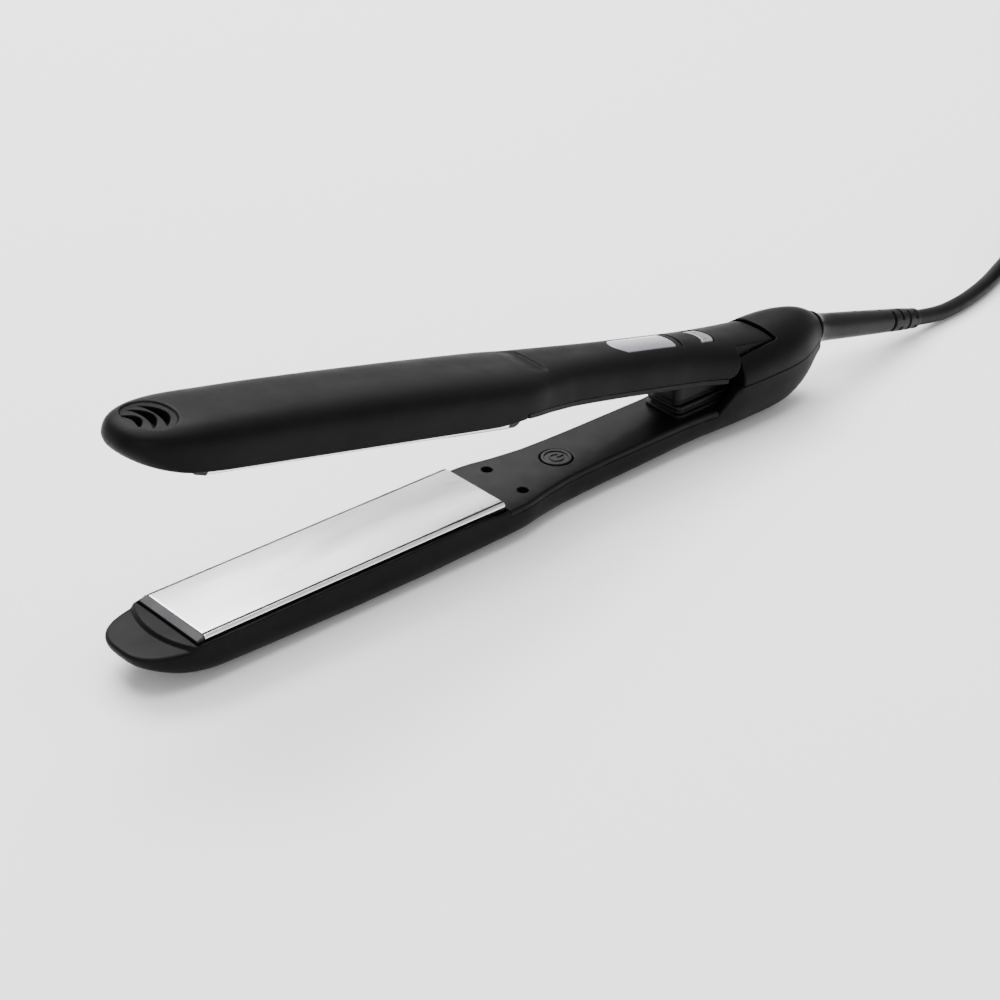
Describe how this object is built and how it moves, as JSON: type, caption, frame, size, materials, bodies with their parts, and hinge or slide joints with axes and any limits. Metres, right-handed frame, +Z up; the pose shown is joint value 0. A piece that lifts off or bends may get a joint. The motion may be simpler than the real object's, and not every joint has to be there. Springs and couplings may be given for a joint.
{
  "type": "hair straightener",
  "caption": "Slim hair straightener with two arms hinged at one end, floating metal plates on their inner faces, rounded noses and a lead with a long swivel strain relief.",
  "frame": {"origin": "on the resting plane, straight below the hinge axis", "axes": "+X towards the lead, -X towards the nose, +Y to the left seen from the nose end looking along +X, +Z up; the upper arm opens upwards"},
  "size_m": [0.5826, 0.054, 0.0863],
  "materials": {
    "soft_touch_black": "soft satin",
    "inner_black": "fine satin",
    "button_black": "satin",
    "screw_steel": "blackened",
    "silicone": "matt",
    "carrier_resin": "polished",
    "plate_metal": "polished, slightly satin",
    "heater_ceramic": "matt",
    "spring_steel": "bright",
    "sensor_brass": "plain",
    "wire_silicone": "matt",
    "switch_black": "plain",
    "circuit_board": "plain",
    "boot_rubber": "matt",
    "relief_rubber": "smooth satin",
    "window_grey": "smoked, polished",
    "display_dark": "polished",
    "rocker_silver": "satin silver",
    "cord_rubber": "smooth",
    "tie_rubber": "matt",
    "plug_black": "fine grained",
    "pin_nickel": "nickel plated"
  },
  "bodies": {
    "lower_arm": {"lower_arm_shell": "soft_touch_black", "lower_inner_cover": "inner_black", "lower_cover_screws": "screw_steel", "lower_plate_cushions": "silicone", "lower_heater_leads": "wire_silicone", "power_switch": "switch_black", "power_board": "circuit_board", "hinge_housing_cover": "soft_touch_black", "housing_screws": "screw_steel", "hinge_bracket": "spring_steel", "hinge_pin": "spring_steel", "opening_spring": "spring_steel", "spring_boot": "boot_rubber", "arm_link_wires": "wire_silicone", "swivel_socket": "switch_black", "power_cord": "cord_rubber", "cord_hank": "cord_rubber", "cord_tie": "tie_rubber", "cord_tail": "cord_rubber", "plug_body": "plug_black", "plug_pins": "pin_nickel"},
    "lower_plate": {"lower_plate_carrier": "carrier_resin", "lower_heating_plate": "plate_metal", "lower_heater": "heater_ceramic", "lower_heater_clip": "spring_steel", "lower_temperature_sensor": "sensor_brass"},
    "button": {"power_button": "button_black"},
    "lead_swivel": {"swivel_ball": "inner_black", "strain_relief": "relief_rubber"},
    "upper_arm": {"upper_arm_shell": "soft_touch_black", "upper_inner_cover": "inner_black", "upper_cover_screws": "screw_steel", "upper_plate_cushions": "silicone", "upper_heater_leads": "wire_silicone", "hinge_bushes": "sensor_brass", "display_window": "window_grey", "display_module": "display_dark", "control_board": "circuit_board", "rocker_switches": "switch_black"},
    "upper_plate": {"upper_plate_carrier": "carrier_resin", "upper_heating_plate": "plate_metal", "upper_heater": "heater_ceramic", "upper_heater_clip": "spring_steel", "upper_temperature_sensor": "sensor_brass"},
    "rocker": {"temperature_rocker": "rocker_silver"}
  },
  "joints": [
    {"name": "arm_hinge", "type": "hinge", "parent": "lower_arm", "child": "upper_arm", "pos_m": [0, 0, 0.027], "axis": [0, -1, 0], "range_deg": [0, 12.4], "stiffness_Nm_per_rad": 1, "springref_deg": -17.19, "deforming": ["spring_boot", "opening_spring", "arm_link_wires"]},
    {"name": "lower_plate_float", "type": "slide", "parent": "lower_arm", "child": "lower_plate", "axis": [0, 0, -1], "range_m": [0, 0.0008], "stiffness_N_per_m": 12500, "springref_m": -0.0004, "deforming": ["lower_plate_cushions"]},
    {"name": "upper_plate_float", "type": "slide", "parent": "upper_arm", "child": "upper_plate", "axis": [0.2164, 0, 0.9763], "range_m": [0, 0.0008], "stiffness_N_per_m": 12500, "springref_m": -0.0004, "deforming": ["upper_plate_cushions"]},
    {"name": "power_button_press", "type": "slide", "parent": "lower_arm", "child": "button", "axis": [0, 0, -1], "range_m": [0, 0.0006], "stiffness_N_per_m": 800, "springref_m": -0.0004},
    {"name": "rocker_tilt", "type": "hinge", "parent": "upper_arm", "child": "rocker", "pos_m": [-0.01786, 0, 0.03147], "axis": [0.9763, 0, -0.2164], "range_deg": [-3.5, 3.5], "stiffness_Nm_per_rad": 0.05},
    {"name": "cord_swivel", "type": "hinge", "parent": "lower_arm", "child": "lead_swivel", "pos_m": [0.0305, 0, 0.02414], "axis": [0.9711, 0, -0.2385], "continuous": true}
  ]
}
